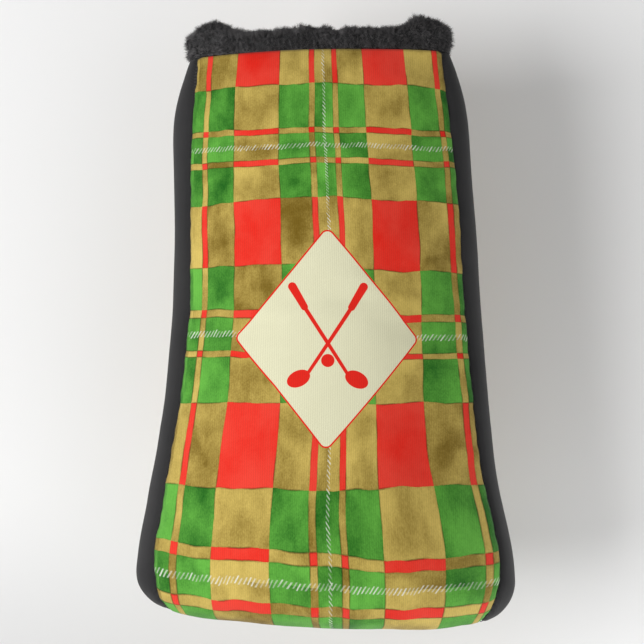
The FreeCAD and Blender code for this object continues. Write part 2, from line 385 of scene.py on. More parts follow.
for method, operation in dict(
    __add__="ADD", __sub__="SUBTRACT", __mul__="MULTIPLY", __truediv__="DIVIDE", abs="ABSOLUTE",
    floor="FLOOR", fract="FRACT", sin="SINE", sqrt="SQRT", above="GREATER_THAN", below="LESS_THAN",
    least="MINIMUM", most="MAXIMUM",
).items():
    setattr(Field, method, functools.partialmethod(Field.math, operation))


class Paint:
    """A material with a Principled shader, and short ways to make what feeds it."""

    def __init__(self, name, roughness=0.85, sheen=0.0, specular=0.3):
        self.material = bpy.data.materials.new(name)
        self.material.use_nodes = True
        self.tree = self.material.node_tree
        self.shader = self.tree.nodes["Principled BSDF"]
        self.shader.inputs["Roughness"].default_value = roughness
        self.shader.inputs["Specular IOR Level"].default_value = specular
        self.shader.inputs["Sheen Weight"].default_value = sheen
        self.shader.inputs["Sheen Roughness"].default_value = 0.5

    def node(self, kind, **settings):
        node = self.tree.nodes.new(kind)
        for name, setting in settings.items():
            setattr(node, name, setting)
        return node

    def feed(self, source, target):
        if isinstance(source, Field):
            source = source.socket
        if isinstance(source, (int, float, tuple)):
            target.default_value = source
        else:
            self.tree.links.new(source, target)

    def place(self):
        """The point on the surface, in metres."""
        return self.node("ShaderNodeTexCoord").outputs["Object"]

    def uv(self, name):
        return self.parts(self.node("ShaderNodeUVMap", uv_map=name).outputs["UV"])[:2]

    def parts(self, vector):
        node = self.node("ShaderNodeSeparateXYZ")
        self.feed(vector, node.inputs[0])
        return [Field(self.tree, output) for output in node.outputs]

    def xyz_mm(self):
        """The point's three coordinates, in millimetres."""
        return [field * 1000.0 for field in self.parts(self.place())]

    def point(self, x, y, z=0.0):
        join = self.node("ShaderNodeCombineXYZ")
        for value, socket in zip((x, y, z), join.inputs):
            self.feed(value, socket)
        return join.outputs[0]

    def noise(self, where, scale, detail=2.0, roughness=0.5, distortion=0.0):
        node = self.node("ShaderNodeTexNoise")
        self.feed(where, node.inputs["Vector"])
        numbers = {"Scale": scale, "Detail": detail, "Roughness": roughness, "Distortion": distortion}
        for name, number in numbers.items():
            node.inputs[name].default_value = number
        return Field(self.tree, node.outputs["Fac"])

    def chance(self, where):
        """A random number for each different point."""
        node = self.node("ShaderNodeTexWhiteNoise")
        self.feed(where, node.inputs["Vector"])
        return Field(self.tree, node.outputs["Value"])

    def mix(self, share, first, second, blend="MIX"):
        node = self.node("ShaderNodeMix", data_type="RGBA", blend_type=blend)
        self.feed(share, node.inputs[0])
        for colour, socket in ((first, node.inputs[6]), (second, node.inputs[7])):
            self.feed((*colour, 1.0) if isinstance(colour, tuple) else colour, socket)
        return node.outputs[2]

    def attribute(self, name):
        return Field(self.tree, self.node("ShaderNodeAttribute", attribute_name=name).outputs["Fac"])

    def colour(self, source):
        self.feed((*source, 1.0) if isinstance(source, tuple) else source, self.shader.inputs["Base Color"])

    def roughness(self, field):
        self.feed(field, self.shader.inputs["Roughness"])

    def bump(self, field, depth_mm, strength=1.0):
        """Raise the surface by a field from 0 to 1, times a depth."""
        node = self.node("ShaderNodeBump")
        node.inputs["Strength"].default_value = strength
        node.inputs["Distance"].default_value = depth_mm * MM
        self.feed(field, node.inputs["Height"])
        if self.shader.inputs["Normal"].is_linked:
            self.feed(self.shader.inputs["Normal"].links[0].from_socket, node.inputs["Normal"])
        self.feed(node.outputs[0], self.shader.inputs["Normal"])


    def finished(self, tone, first, second, height, depth_mm, strength):
        """The material: its colour goes from the first to the second by tone, and height raises it."""
        self.colour(self.mix(tone, srgb(*first), srgb(*second)))
        self.bump(height, depth_mm, strength)
        return self.material


def srgb(red, green, blue):
    """A colour as it looks on a screen, 0 to 255, in the linear numbers that shaders take."""
    def linear(value):
        value /= 255
        return value / 12.92 if value <= 0.04045 else ((value + 0.055) / 1.055) ** 2.4
    return (linear(red), linear(green), linear(blue))


# ---- the printed check

# One repeat of the check, centre of a wide band to centre of the next, as shares of the repeat. The
# half repeat is: half the wide band, a narrow stripe, a broad band, and half the ground square.
STRIPE_START, STRIPE_END, GROUND_START = 0.071, 0.113, 0.3275
REPEAT_ACROSS = 0.995       # a repeat's width, in half widths of the panel
CENTRE_BAND = 0.025         # how far the middle wide band sits right of the panel's centre line
GROUND_SHIFT = 0.022        # how far left of its even place the band between wide bands is drawn
PRINT_DISTANCE = 620.0      # from this far in front, in mm, the print looks evenly spread across
WOBBLE_ACROSS, WOBBLE_DOWN = 0.024, 0.034   # how far the bands' edges wander, in repeats

# Heights of the check's rows from the hem down, in millimetres. They start with the lower part of a
# ground square, and each later group is a repeat's bands in order: broad, stripe, wide, stripe, broad,
# ground. The print is stretched more towards the closed end.
FIRST_GROUND = 16.2
ROW_HEIGHTS = (
    (19.6, 2.3, 10.8, 2.3, 14.3, 28.2),
    (18.8, 3.3, 14.4, 2.2, 19, 35.6),
    (24.3, 5.3, 17.2, 6.4, 24, 40),
    (26, 5.5, 18, 5.5, 26, 44),
)
# The rows waver: how far below its even level each row is drawn at the cloth's two sides, in mm.
WAVER_LEVELS = (0, 16, 36, 49, 64, 92, 112, 127, 147, 183, 208, 232, 260)
WAVER_LEFT = (0, -0.4, -1.6, -0.8, 1.5, 0.5, 0.0, 0.0, 1.5, 2.0, 2.0, 2.5, 2.5)
WAVER_RIGHT = (0, 1.2, 0.4, 0.4, 0.8, 2.6, 2.2, 0.8, 0.0, -2.0, 2.8, 1.0, 1.0)
BAND_SHARES = (
    GROUND_START - STRIPE_END,
    STRIPE_END - STRIPE_START,
    2 * STRIPE_START,
    STRIPE_END - STRIPE_START,
    GROUND_START - STRIPE_END,
    1 - 2 * GROUND_START,
)

RED, PALE_RED = srgb(228, 32, 16), srgb(240, 78, 62)
GREEN, PALE_GREEN = srgb(16, 92, 12), srgb(106, 184, 70)
TAN, PALE_TAN = srgb(116, 92, 20), srgb(214, 188, 100)
CREAM, DEEP_CREAM = srgb(228, 226, 194), srgb(218, 215, 181)
DIAMOND_RED = srgb(226, 36, 24)

# The diamond: its centre's level below the hem, and its half width and half height in millimetres.
DIAMOND_LEVEL, DIAMOND_HALF_WIDTH, DIAMOND_HALF_HEIGHT = 124.5, 37.2, 45.8
DIAMOND_SHIFT = 0.3         # how far right of the panel's middle it is printed
DIAMOND_LEAN = 0.008        # and how far it leans to the left, from the top, for each millimetre down
DIAMOND_CORNER = 2.4
DIAMOND_LINE = 0.65
MOTIF_RISE = 1.5            # how far the ornament's centre lies above the diamond's


def check_rows():
    """Levels at which bands of the check meet, and where each lies in repeats."""
    levels, places = [-FIRST_GROUND * 0.9, FIRST_GROUND], [-GROUND_START - BAND_SHARES[5], -GROUND_START]
    for group in ROW_HEIGHTS:
        for height, share in zip(group, BAND_SHARES):
            levels.append(levels[-1] + height)
            places.append(places[-1] + share)
    return np.array(levels), np.array(places)


def check_bands(field):
    """For a coordinate in repeats: a number for the band it is in, 1 where that band is a red kind,
    and how far the nearest edge of a band is."""
    repeat = field + 0.5
    from_middle = (repeat.fract() - 0.5).abs()
    ground = from_middle.above(GROUND_START)
    index = from_middle.above(STRIPE_START) + from_middle.above(STRIPE_END) + ground
    side = repeat.fract().above(0.5)
    banded = repeat.floor() * 8.0 + index + side * 4.0
    cell = banded * ground.flipped() + (field.floor() * 8.0 + 7.5) * ground
    red_kind = from_middle.above(STRIPE_START) * from_middle.below(STRIPE_END) + ground
    border = (from_middle - STRIPE_START).abs().least((from_middle - STRIPE_END).abs())
    return cell, red_kind, border.least((from_middle - GROUND_START).abs())


def segment(x, y, start, end, thin, thick):
    """How far (x, y) lies outside a stroke whose half width grows from thin to thick, in millimetres."""
    run_x, run_y = end[0] - start[0], end[1] - start[1]
    length = run_x ** 2 + run_y ** 2
    along = ((x - start[0]) * run_x + (y - start[1]) * run_y) / length
    along = along.most(0.0).least(1.0)
    away_x = x - start[0] - along * run_x
    away_y = y - start[1] - along * run_y
    return (away_x * away_x + away_y * away_y).sqrt() - (along * (thick - thin) + thin)


def blob(x, y, centre, half_width, half_height, lean):
    """How far (x, y) lies outside a leaning ellipse, roughly, in millimetres."""
    cos, sin = math.cos(lean), math.sin(lean)
    across = (x - centre[0]) * cos + (y - centre[1]) * sin
    up = (y - centre[1]) * cos - (x - centre[0]) * sin
    ratio = half_width / half_height
    return (across * across + up * up * ratio * ratio).sqrt() - half_width


def crossed_clubs(x, y):
    """A plain ornament of two crossed clubs and a ball: negative inside it, in millimetres."""
    clubs = None
    for side in (-1, 1):
        grip = segment(x, y, (side * 14.5, 20.0), (side * 9.6, 11.5), 1.75, 1.45)
        shaft = segment(x, y, (side * 9.6, 11.5), (-side * 8.6, -17.0), 0.85, 0.7)
        head = blob(x, y, (-side * 11.7, -18.3), 5.0, 3.3, side * 0.5)
        club = grip.least(shaft).least(head)
        clubs = club if clubs is None else clubs.least(club)
    return clubs.least(blob(x, y, (0.0, -10.6), 2.7, 2.7, 0.0))


def printed_cloth():
    """Watercolour check in red, green and tan with white hatching, and a cream diamond."""
    paint = Paint("printed_cloth", roughness=0.82, sheen=0.05, specular=0.15)
    across, down = paint.uv("check")
    x_place, level_place = paint.uv("cloth")
    x_mm, level_mm = x_place * 100.0, level_place * 100.0
    flat = paint.point(across, down)
    wobble_x = paint.noise(paint.point(across * 1.2, down * 1.9), 2.3, 1.0) - 0.5
    wobble_y = paint.noise(paint.point(across * 2.4, down * 0.9, 7.0), 2.0, 1.0) - 0.5
    ragged = (paint.noise(flat, 60.0, 2.0) - 0.5) * 0.0030
    cell_x, red_x, border_x = check_bands(across + wobble_x * WOBBLE_ACROSS + ragged)
    cell_y, red_y, border_y = check_bands(down + wobble_y * WOBBLE_DOWN + ragged)

    # Each cell has its own tone, and pools of pigment drift through it.
    own_tone = paint.chance(paint.point(cell_x, cell_y, 3.0))
    shifted = paint.point(across + own_tone * 9.0, down * 1.25 + own_tone * 5.0)
    pools = paint.noise(shifted, 3.6, 2.5, 0.5, 0.4)
    strokes = paint.noise(paint.point(across * 6.0, down * 1.6, own_tone * 3.0), 3.0, 3.0, 0.6)
    mottle = paint.noise(flat, 34.0, 4.0, 0.65)
    grain = paint.noise(flat, 105.0, 2.0, 0.6)
    deep = paint.chance(paint.point(cell_x, cell_y, 8.0)).fade(0.2, 0.9)
    inward = border_x.least(border_y * 0.8).fade(0.015, 0.13)
    wet = own_tone * 0.44 + pools * 1.6 + strokes * 0.3 + mottle * 0.42 + grain * 0.5
    wet = (wet - inward * deep * 0.34 - 1.16).fade(-0.25, 1.05)

    reds = paint.mix(wet * 0.7, RED, PALE_RED)
    greens = paint.mix(wet, GREEN, PALE_GREEN)
    tans = paint.mix(wet, TAN, PALE_TAN)
    colour = paint.mix(red_x * red_y, tans, reds)
    colour = paint.mix(red_x.flipped() * red_y.flipped(), colour, greens)

    # Pigment gathers in a thin darker line where bands meet.
    line_x = border_x.fade(0.0064, 0.0026)
    line_y = border_y.fade(0.0050, 0.0020)
    patchy = paint.noise(flat, 7.0, 2.0).fade(0.38, 0.60) * 0.75 + 0.12
    colour = paint.mix(line_x.most(line_y) * patchy, colour, (0.42, 0.42, 0.36), "MULTIPLY")

    hatch = white_hatching(paint, across, down, wobble_x, wobble_y)
    colour = paint.mix(hatch, colour, srgb(236, 238, 228))

    x_off, level_off = x_mm - DIAMOND_SHIFT, level_mm - DIAMOND_LEVEL
    x_turned = x_off + level_off * DIAMOND_LEAN
    level_turned = level_off - x_off * DIAMOND_LEAN
    outside = diamond_distance(x_turned, level_turned)
    front = paint.xyz_mm()[1].below(0.0)
    colour = paint.mix(outside.fade(DIAMOND_LINE + 0.1, DIAMOND_LINE - 0.1) * front, colour, DIAMOND_RED)
    cream = paint.mix(paint.noise(flat, 5.0, 2.0) * 0.6, CREAM, DEEP_CREAM)
    colour = paint.mix(outside.fade(0.1, -0.1) * front, colour, cream)
    motif = crossed_clubs(x_turned, level_turned * -1.0 - MOTIF_RISE)
    colour = paint.mix(motif.fade(0.1, -0.1) * front, colour, DIAMOND_RED)

    weave = twill(paint, x_mm, level_mm)
    # painted shade: the print is painted darker where the weave lies low, in its hollows
    colour = paint.mix(weave.fade(0.75, 0.15) * 0.34, colour, (0.62, 0.62, 0.58), "MULTIPLY")
    paint.colour(colour)
    return paint.material


def white_hatching(paint, across, down, wobble_x, wobble_y):
    """Slanted strokes along the middle of the wide bands: how white each point is, 0 to 1."""
    off_x = (across + wobble_x * WOBBLE_ACROSS + 0.5).fract() - 0.5
    off_y = (down + wobble_y * WOBBLE_DOWN + 0.5).fract() - 0.5
    uneven = paint.noise(paint.point(across, down), 9.0, 1.0) * 0.9
    faded = paint.noise(paint.point(across * 6.0, down * 6.0, 2.0), 1.6, 2.0).fade(0.32, 0.60)
    level_line = hatch_strokes(paint, across * 41.0 + off_y * 38.0 + uneven, off_y, 1.0)
    upright_line = hatch_strokes(paint, down * 52.0 - off_x * 44.0 + uneven, off_x * 1.25, 2.0)
    upright_line = upright_line * across.abs().below(0.5)
    return level_line.most(upright_line) * (faded * 0.42 + 0.32)


def hatch_strokes(paint, turns, off, seed):
    """A stroke for each whole turn, from 0 to 1. They differ in length and in how white they are."""
    own = paint.chance(paint.point(turns.floor(), seed))
    place = paint.chance(paint.point(turns.floor(), seed + 4.0)) - 0.5
    length = ((off + place * 0.006).abs() + own * 0.003).fade(0.0165, 0.0125)
    return (turns.fract() - 0.5).abs().fade(0.26, 0.12) * length * (own.flipped() * 0.6 + 0.4)


def diamond_distance(x_mm, level):
    """How far outside the rounded diamond a point lies, in millimetres."""
    slope = math.hypot(DIAMOND_HALF_WIDTH, DIAMOND_HALF_HEIGHT)
    wide = DIAMOND_HALF_WIDTH - DIAMOND_CORNER * slope / DIAMOND_HALF_HEIGHT
    high = DIAMOND_HALF_HEIGHT - DIAMOND_CORNER * slope / DIAMOND_HALF_WIDTH
    x_away, level_away = x_mm.abs(), level.abs()
    within = (x_away * high + level_away * wide - wide * high) / math.hypot(wide, high)
    past = segment(x_away, level_away, (wide, 0.0), (0.0, high), 0.0, 0.0)
    return within.least(0.0) + past * within.above(0.0) - DIAMOND_CORNER


RIB_SPACING, TWILL_SPACING = 0.88, 0.64     # in mm
TWILL_SLANT = 0.55


def twill(paint, x_mm, level_mm):
    """The cloth's weave: fine upright ribs crossed by a slanting twill. Returns its height, 0 to 1."""
    ribs = x_mm.wave(2 * math.pi / RIB_SPACING)
    slant = (x_mm + level_mm * TWILL_SLANT).wave(2 * math.pi / TWILL_SPACING)
    fuzz = paint.noise(paint.place(), 1700.0, 2.0)
    weave = ribs * 0.42 + slant * 0.26 + fuzz * 0.4
    paint.bump(weave, 0.10, 0.6)
    paint.roughness(weave * 0.12 + 0.74)
    return weave


# ---- the other materials

def gusset_cloth():
    """Matt black stretch knit with a fine pique texture."""
    paint = Paint("gusset_knit", roughness=0.8, sheen=0.08, specular=0.15)
    _, y, z = paint.xyz_mm()
    fine = ((y * 7.4).sin() * (z * 7.4).sin()) * 0.5 + 0.5
    fuzz = paint.noise(paint.place(), 1500.0, 3.0)
    cloud = paint.noise(paint.place(), 38.0, 3.0)
    tone = fine * 0.3 + fuzz * 0.4 + cloud * 0.4
    paint.roughness(fuzz * 0.15 + 0.72)
    height = fine * 0.6 + fuzz * 0.6
    return paint.finished(tone.fade(0.2, 0.9), (32, 32, 33), (52, 51, 52), height, 0.09, 0.6)


def fleece_cloth():
    """Dark fleece with soft curls."""
    paint = Paint("fleece", roughness=0.95, sheen=0.4, specular=0.1)
    curls = paint.noise(paint.place(), 420.0, 4.0, 0.6, 1.2)
    cloud = paint.noise(paint.place(), 60.0, 2.0)
    tone = (curls * 0.7 + cloud * 0.4).fade(0.3, 0.75)
    return paint.finished(tone, (30, 30, 31), (66, 65, 66), curls, 0.9, 0.8)


def fur_hair():
    """Charcoal pile: each hair has its own tone, and is darker at its root, which is painted shade deep in
    the pile.
    """
    paint = Paint("fur_pile", roughness=0.62, sheen=0.15, specular=0.35)
    tone = paint.attribute("tone")
    tip = paint.attribute("tip")
    cloud = paint.noise(paint.place(), 110.0, 2.0)
    fleck = paint.noise(paint.place(), 420.0, 2.0)
    # tip lightens each hair towards its end; the darker root is painted shade within the pile
    shade = (tone * tone * 0.55 + tip * 0.4 + cloud * 0.55 + fleck * 0.5 - 0.45).fade(0.0, 1.1)
    rough = paint.noise(paint.place(), 3000.0, 2.0)
    return paint.finished(shade, (22, 22, 23), (112, 109, 110), rough, 0.03, 0.4)


def sewing_thread():
    """Black twisted thread."""
    paint = Paint("sewing_thread", roughness=0.55, specular=0.4)
    twist = (paint.noise(paint.place(), 30.0, 1.0) + paint.xyz_mm()[2]).wave(14.0)
    return paint.finished(twist, (22, 22, 23), (52, 51, 52), twist, 0.08, 0.7)


def elastic_knit():
    """Ribbed black elastic."""
    paint = Paint("elastic_knit", roughness=0.8, specular=0.2)
    ribs = paint.xyz_mm()[2].wave(4.2)
    fuzz = paint.noise(paint.place(), 1200.0, 2.0)
    return paint.finished(ribs * 0.7 + fuzz * 0.3, (28, 28, 29), (58, 57, 58), ribs, 0.3, 0.8)


def label_satin():
    """White satin, finely woven."""
    paint = Paint("label_satin", roughness=0.42, sheen=0.2, specular=0.5)
    x, _, z = paint.xyz_mm()
    weft, warp = z.wave(16.0), x.wave(11.0)
    fuzz = paint.noise(paint.place(), 900.0, 2.0)
    tone, height = fuzz * 0.6 + weft * 0.3, weft * 0.6 + warp * 0.4
    return paint.finished(tone, (236, 234, 228), (212, 210, 204), height, 0.04, 0.6)


# ---- the two printed panels

DITCH = 1.0                 # how deep the cloth dips at a seam
DITCH_REACH = 1.7           # and how far from the seam the dip reaches
PUFF = 0.7                  # how far the foam fills the panels out between the seams
PUFF_REACH = 7.0            # and how far from a seam that takes
PUCKER = 0.34               # how far the stitches pucker the cloth beside them
PUCKER_REACH, PUCKER_SPACING = 6.0, 9.0
LONG_WAVE, LONG_SPACING = 0.22, 74.0    # slow unevenness of the padding
SHORT_WAVE, SHORT_SPACING = 0.18, 46.0


def relief(to_seam, along, seed):
    """Height of sewn, padded cloth over its plain surface, in mm, from distances in mm."""
    dip = -DITCH * np.exp(-(to_seam / DITCH_REACH) ** 2)
    puff = PUFF * (1 - np.exp(-to_seam / PUFF_REACH))
    pucker = PUCKER * np.exp(-to_seam / PUCKER_REACH) * ripple(along, PUCKER_SPACING, seed)
    return dip + puff + pucker


SETTLE_ROWS, SETTLE_COLUMNS = 64, 28
SETTLE_FRAMES = 20
SETTLE_SETTINGS = dict(
    quality=6, mass=0.15, bending_stiffness=0.3, vertex_group_mass="held", use_pressure=True,
    uniform_pressure_force=4.0, shrink_min=-0.01,
)
SETTLE_CAP = 1.6            # the furthest that the cloth may swell, in mm


def settled(grid, outward):
    """How far cloth with foam behind it swells along its normals, in mm, its edges held by the seams.

    It is simulated on a coarse copy of the grid, and read off for each of the grid's own points.
    """
    rows = np.linspace(0, grid.shape[0] - 1, SETTLE_ROWS).round().astype(int)
    columns = np.linspace(0, grid.shape[1] - 1, SETTLE_COLUMNS).round().astype(int)
    coarse = grid[np.ix_(rows, columns)]
    normal = grid_normals(coarse, outward)
    first = np.cross(coarse[1, 1] - coarse[1, 0], coarse[2, 0] - coarse[1, 0])
    points = np.arange(SETTLE_ROWS * SETTLE_COLUMNS).reshape(SETTLE_ROWS, SETTLE_COLUMNS)
    faces = grid_faces(points, first @ normal[1, 1] < 0)
    cloth_piece = link("settling_cloth", coarse.reshape(-1, 3) * MM, faces)
    held = cloth_piece.vertex_groups.new(name="held")
    held.add(rim(points), 1.0, "REPLACE")
    cloth = cloth_piece.modifiers.new("cloth", "CLOTH")
    for name, setting in SETTLE_SETTINGS.items():
        setattr(cloth.settings, name, setting)
    cloth.settings.effector_weights.gravity = 0
    cloth.point_cache.frame_start, cloth.point_cache.frame_end = 1, SETTLE_FRAMES
    for step in range(1, SETTLE_FRAMES + 1):
        bpy.context.scene.frame_set(step)
    swollen = cloth_piece.evaluated_get(bpy.context.evaluated_depsgraph_get()).to_mesh()
    places = np.zeros(len(swollen.vertices) * 3)
    swollen.vertices.foreach_get("co", places)
    bpy.data.objects.remove(cloth_piece)
    bpy.context.scene.frame_set(1)
    rise = np.sum((places.reshape(coarse.shape) / MM - coarse) * normal, axis=2)
    rise = np.clip(np.nan_to_num(rise), -0.4 * SETTLE_CAP, SETTLE_CAP)
    for _ in range(2):
        beside = rise[:-2, 1:-1] + rise[2:, 1:-1] + rise[1:-1, :-2] + rise[1:-1, 2:]
        rise[1:-1, 1:-1] = beside / 8 + rise[1:-1, 1:-1] / 2
    along = np.stack([np.interp(np.arange(grid.shape[0]), rows, line) for line in rise.T], axis=1)
    return np.stack([np.interp(np.arange(grid.shape[1]), columns, line) for line in along])


def print_maps(grid):
    """UV maps for each point of the panel's grid: the check, in repeats, and the cloth, in 100 mm."""
    rows = len(grid)
    seen = grid[:, :, 0] / (PRINT_DISTANCE + grid[:, :, 1])
    across = seen / seen[:, -1:]
    level = -grid[:, :, 2].copy()
    turn = rows - ROWS_END
    walked = lengths(grid)
    level[turn:] = ROUNDING_LEVEL + walked[turn:] - walked[turn - 1]
    levels, places = check_rows()
    waver = smooth_table(level, WAVER_LEVELS, WAVER_LEFT) * smooth_table(across, (-0.95, -0.45), (1, 0))
    waver += smooth_table(level, WAVER_LEVELS, WAVER_RIGHT) * smooth_table(across, (0.0, 0.35), (0, 1))
    down = np.interp(level - waver, levels, places)
    repeats = (across - CENTRE_BAND) / REPEAT_ACROSS
    repeats += GROUND_SHIFT * np.sin(math.pi * repeats) ** 2
    check = np.stack([repeats, down], axis=2)
    cloth = np.stack([grid[:, :, 0] / 100, level / 100], axis=2)
    return {"check": check, "cloth": cloth}


def panel(name, side, material):
    """A printed panel with its foam: side is -1 for the front one and 1 for the back one."""
    base = panel_surface(panel_edge, 0.0, 0.0, COLUMNS_PANEL)
    normal = grid_normals(base, (0, -1, 0))
    walked = lengths(base)
    to_side = (1 - np.abs(np.linspace(-1, 1, COLUMNS_PANEL)))[None, :] * panel_edge(-base[:, :, 2])
    to_end = walked[-1][None, :] - walked
    height = relief(to_side, walked, 11 + side)
    height += relief(to_end, base[:, :, 0], 23 + side) - PUFF
    height += LONG_WAVE * ripple(walked + 0.35 * base[:, :, 0], LONG_SPACING, 31 + side)
    height += SHORT_WAVE * ripple(base[:, :, 0] - 0.2 * walked, SHORT_SPACING, 37 + side)
    height += settled(base + normal * height[:, :, None], (0, -1, 0))
    outer = base + normal * height[:, :, None]
    inner = base - normal * SKIN_THICKNESS
    maps = print_maps(base)
    if side > 0:
        flip = np.array([1, -1, 1])
        outer, inner = outer * flip, inner * flip
    return shell(name, outer, inner, material, maps), base


def gusset(name, side, seam, material):
    """A side gusset: side is -1 for the left one and 1 for the right one."""
    base = side_surface(seam, 0.0, COLUMNS_GUSSET)
    normal = grid_normals(base, (1, 0, 0))
    across = lengths(base.swapaxes(0, 1)).T
    to_seam = np.minimum(across, across[:, -1:] - across)
    walked = lengths(base)
    height = relief(to_seam, walked, 41 + side) - PUFF * 0.4
    height += 0.16 * ripple(walked, 38.0, 43 + side)
    fade = np.clip(across[:, -1:] / 8.0, 0, 1)
    outer = base + normal * (height * fade - DITCH * (1 - fade))[:, :, None]
    inner = base - normal * np.maximum(SKIN_THICKNESS * fade, DITCH + 0.3)[:, :, None]
    flip = np.array([side, 1, 1])
    return shell(name, outer * flip, inner * flip, material)


# ---- lining

def lining_edge(levels):
    return panel_edge(levels) - LINING_SEAM


def lumps(grid, seed):
    """Soft unevenness of fleece, in mm."""
    x, y, z = np.moveaxis(grid, 2, 0)
    return 0.45 * ripple(z + 0.5 * x, 13.0, seed) + 0.4 * ripple(x - 0.4 * z + y, 9.0, seed + 1)


def lining_panel(name, side, material):
    """The lining behind a printed panel; also its two faces as the front one's, and its own inner face."""
    outer = panel_surface(lining_edge, LINING_BACK, 0.0, 54)
    inner = panel_surface(lining_edge, LINING_FRONT, 0.0, 54)
    inner = inner - grid_normals(inner, (0, -1, 0)) * lumps(inner, 51 + side)[:, :, None]
    flip = np.array([1, -side, 1])
    return shell(name, outer * flip, inner * flip, material), (outer, inner), inner * flip


def lining_side(name, side, seams, material):
    """The lining beside a gusset, between the seams of the front lining's two faces; also its inner face."""
    outer = side_surface(seams[0], LINING_BACK, 26)
    inner = side_surface(seams[1], LINING_FRONT, 26)
    flip = np.array([side, 1, 1])
    return shell(name, outer * flip, inner * flip, material), inner * flip


# ---- thread

STITCH_LENGTH, STITCH_GAP = 2.4, 0.9
STITCH_SIDES = 6
# Along a stitch: the share of its length, and its thickness there as a share of the thread's.
STITCH_RINGS = ((0.0, 0.35), (0.12, 0.9), (0.5, 1.0), (0.88, 0.9), (1.0, 0.35))
THREAD_RADIUS, LINING_THREAD_RADIUS = 0.22, 0.20


def stitches(name, path, radius, material):
    """A row of sewn stitches along a line of points, each a short closed length of thread, in mm."""
    along = lengths(path)
    vertices, faces = [], []
    start = 0.0
    while start + STITCH_LENGTH < along[-1]:
        first = len(vertices)
        for share, width in STITCH_RINGS:
            here = start + share * STITCH_LENGTH
            behind, centre, beyond = along_line(path, along, np.array((here - 0.5, here, here + 0.5)))
            at_end = np.linalg.norm(beyond - centre) < 1e-6
            ahead = unit(centre - behind if at_end else beyond - centre)
            aside = unit(np.cross(ahead, (0.3, 0.9, 0.31)))
            other = np.cross(ahead, aside)
            for side in range(STITCH_SIDES):
                turn = 2 * math.pi * side / STITCH_SIDES
                ray = math.cos(turn) * aside + math.sin(turn) * other
                vertices.append(centre + width * radius * ray)
        last = len(vertices) - STITCH_SIDES
        for ring in range(first, last, STITCH_SIDES):
            for side in range(STITCH_SIDES):
                a, b = ring + side, ring + (side + 1) % STITCH_SIDES
                faces.append((a, b, b + STITCH_SIDES, a + STITCH_SIDES))
        faces.append(tuple(reversed(range(first, first + STITCH_SIDES))))
        faces.append(tuple(range(last, last + STITCH_SIDES)))
        start += STITCH_LENGTH + STITCH_GAP
    return link(name, hang(vertices) * MM, faces, material)


# ---- fur

def hem_path(inset, count):
    """Points evenly spaced round the mouth, in mm, and the way out of it at each."""
    half_width = spline(0.0, 1) - inset
    turns = np.linspace(0, math.pi, 1200)
    x = half_width * np.cos(turns)
    front = np.column_stack([x, -half_depth(x, np.zeros_like(x), inset), np.zeros_like(x)])
    back = front[::-1] * (1, -1, 1)
    loop = np.vstack([front, back[1:]])
    points = spread(loop, count + 1)[:-1]
    ahead = unit(np.roll(points, -1, axis=0) - np.roll(points, 1, axis=0))
    out = np.column_stack([-ahead[:, 1], ahead[:, 0], np.zeros(count)])
    if out[0] @ points[0] < 0:
        out = -out
    return points, out


# Where the trim's cloth lies, in mm: how far its two faces are in from the hem's edge, and how high it
# starts.
CUFF_INSETS = (0.6, 7.4)
CUFF_FOOT = 0.1
# Heights of its cloth, by how far to the side a point of the ring lies.
CUFF_REACHES = (0, 0.45, 0.64, 0.82, 0.93, 1.0)
CUFF_HEIGHTS = (9.4, 9.0, 9.8, 14.4, 14.0, 11.5)
CUFF_BULGE = 1.7            # how far it bulges out over the gussets
CUFF_AROUND, CUFF_SECTION = 560, 34     # points round the ring, and round its section

ROOT_DEPTH = 0.3            # how far below the cloth a hair starts
TUFT = 0.8                  # how strongly hairs gather in tufts
ASKEW = (0.21, 0.37, 0.9)   # a way that no hair points in


def tangle(points, spacing, seed):
    """Three smooth numbers between about -1 and 1 for each point, that change over a given spacing."""
    rng = np.random.default_rng(seed)
    total = np.zeros(points.shape)
    for part in range(3):
        for _ in range(4):
            way = rng.normal(0, 1, 3)
            way *= 2 * math.pi / (spacing * rng.uniform(0.7, 1.4) * np.linalg.norm(way))
            total[..., part] += np.sin(points @ way + rng.uniform(0, 6.3))
    return total / 2.2


def cuff_form():
    """The trim's grid of points round the mouth, under its pile, and the normals there, in mm."""
    middle, half_thick = sum(CUFF_INSETS) / 2, (CUFF_INSETS[1] - CUFF_INSETS[0]) / 2
    path, out = hem_path(middle, CUFF_AROUND)
    reach = np.abs(path[:, 0]) / np.abs(path[:, 0]).max()
    top = smooth_table(reach, CUFF_REACHES, CUFF_HEIGHTS)
    bulge = CUFF_BULGE * smooth_table(reach, (0.9, 1.0), (0, 1))
    rings = []
    for turn in np.linspace(0, 2 * math.pi, CUFF_SECTION, endpoint=False):
        squareness = 0.75 if math.sin(turn) > 0 else 0.4
        across = math.copysign(abs(math.cos(turn)) ** squareness, math.cos(turn))
        up = math.copysign(abs(math.sin(turn)) ** 0.75, math.sin(turn))
        outward = half_thick * across + bulge * max(0, across) * (1 + math.sin(turn)) / 2
        point = path + out * outward[:, None]
        point[:, 2] = CUFF_FOOT + (top - CUFF_FOOT) * (up + 1) / 2
        rings.append(point)
    grid = np.stack(rings, axis=1)
    normal = ring_normals(grid)
    lumps = 0.45 * tangle(grid, 14.0, 61)[..., 0] + 0.45 * tangle(grid, 5.5, 62)[..., 0]
    lumps *= np.clip(grid[:, :, 2] / 4.0, 0, 1)
    grid = grid + normal * lumps[..., None]
    return grid, ring_normals(grid)


def ring_normals(grid):
    along = np.roll(grid, -1, axis=0) - np.roll(grid, 1, axis=0)
    around = np.roll(grid, -1, axis=1) - np.roll(grid, 1, axis=1)
    normal = unit(np.cross(along, around))
    core = grid.mean(axis=1, keepdims=True)
    return normal * np.sign(np.sum(normal * (grid - core), axis=2, keepdims=True))


